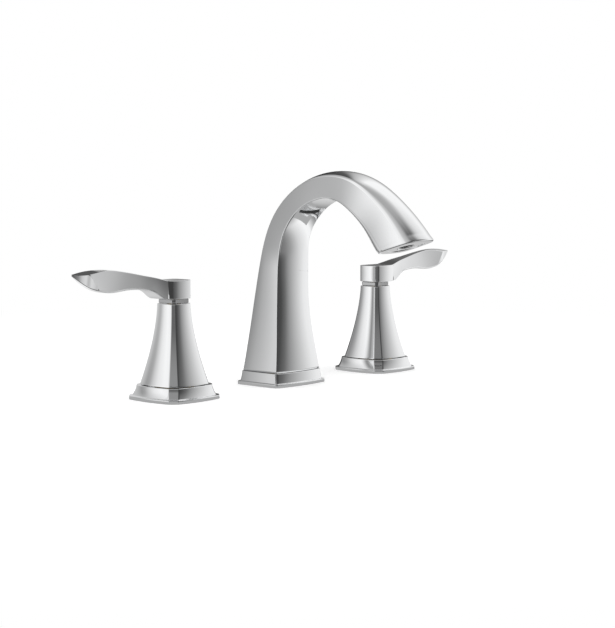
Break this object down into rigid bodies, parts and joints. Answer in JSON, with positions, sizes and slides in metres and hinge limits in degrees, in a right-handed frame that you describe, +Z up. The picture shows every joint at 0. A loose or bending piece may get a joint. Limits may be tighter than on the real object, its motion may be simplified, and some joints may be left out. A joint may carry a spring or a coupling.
{
  "type": "widespread bathroom faucet",
  "caption": "Widespread bathroom faucet: gooseneck spout and fluted square lever handles in polished chrome, with valves, threaded shanks and fixings for a counter.",
  "frame": {"origin": "on the counter's top face, at the middle of the spout's base", "axes": "+X from the hot handle to the cold handle, +Z up, -Y towards the user"},
  "size_m": [0.3746, 0.1492, 0.225],
  "materials": {
    "chrome": "polished chrome plate",
    "brass": "machined brass",
    "steel": "stamped steel",
    "rubber": "matt black rubber",
    "foam": "closed-cell foam",
    "ceramic": "lapped white ceramic",
    "black_plastic": "moulded black plastic",
    "white_plastic": "moulded white plastic"
  },
  "bodies": {
    "fixed": {"hot_neck_ring": "chrome", "hot_bell": "chrome", "hot_base_plate": "chrome", "hot_gasket": "foam", "hot_seat_seal": "rubber", "hot_fixed_disc": "ceramic", "hot_cartridge_housing": "white_plastic", "hot_bonnet_nut": "brass", "hot_valve_body": "brass", "hot_rubber_washer": "rubber", "hot_metal_washer": "steel", "hot_lock_nut": "brass", "cold_neck_ring": "chrome", "cold_bell": "chrome", "cold_base_plate": "chrome", "cold_gasket": "foam", "cold_seat_seal": "rubber", "cold_fixed_disc": "ceramic", "cold_cartridge_housing": "white_plastic", "cold_bonnet_nut": "brass", "cold_valve_body": "brass", "cold_rubber_washer": "rubber", "cold_metal_washer": "steel", "cold_lock_nut": "brass", "spout_body": "chrome", "waterway_tube": "white_plastic", "aerator_housing": "chrome", "aerator_washer": "rubber", "aerator_insert": "black_plastic", "spout_base_plate": "chrome", "spout_gasket": "foam", "spout_shank": "brass", "shank_o_ring": "rubber", "spout_rubber_washer": "rubber", "spout_metal_washer": "steel", "spout_lock_nut": "brass", "inlet_tee": "brass"},
    "hot_lever": {"hot_handle": "chrome", "hot_set_screw": "steel", "hot_stem": "brass", "hot_stem_o_ring": "rubber", "hot_moving_disc": "ceramic"},
    "cold_lever": {"cold_handle": "chrome", "cold_set_screw": "steel", "cold_stem": "brass", "cold_stem_o_ring": "rubber", "cold_moving_disc": "ceramic"}
  },
  "joints": [
    {"name": "hot_turn", "type": "hinge", "parent": "fixed", "child": "hot_lever", "pos_m": [-0.1016, 0, 0.07], "axis": [0, 0, 1], "range_deg": [0, 90]},
    {"name": "cold_turn", "type": "hinge", "parent": "fixed", "child": "cold_lever", "pos_m": [0.1016, 0, 0.07], "axis": [0, 0, -1], "range_deg": [0, 90]}
  ]
}
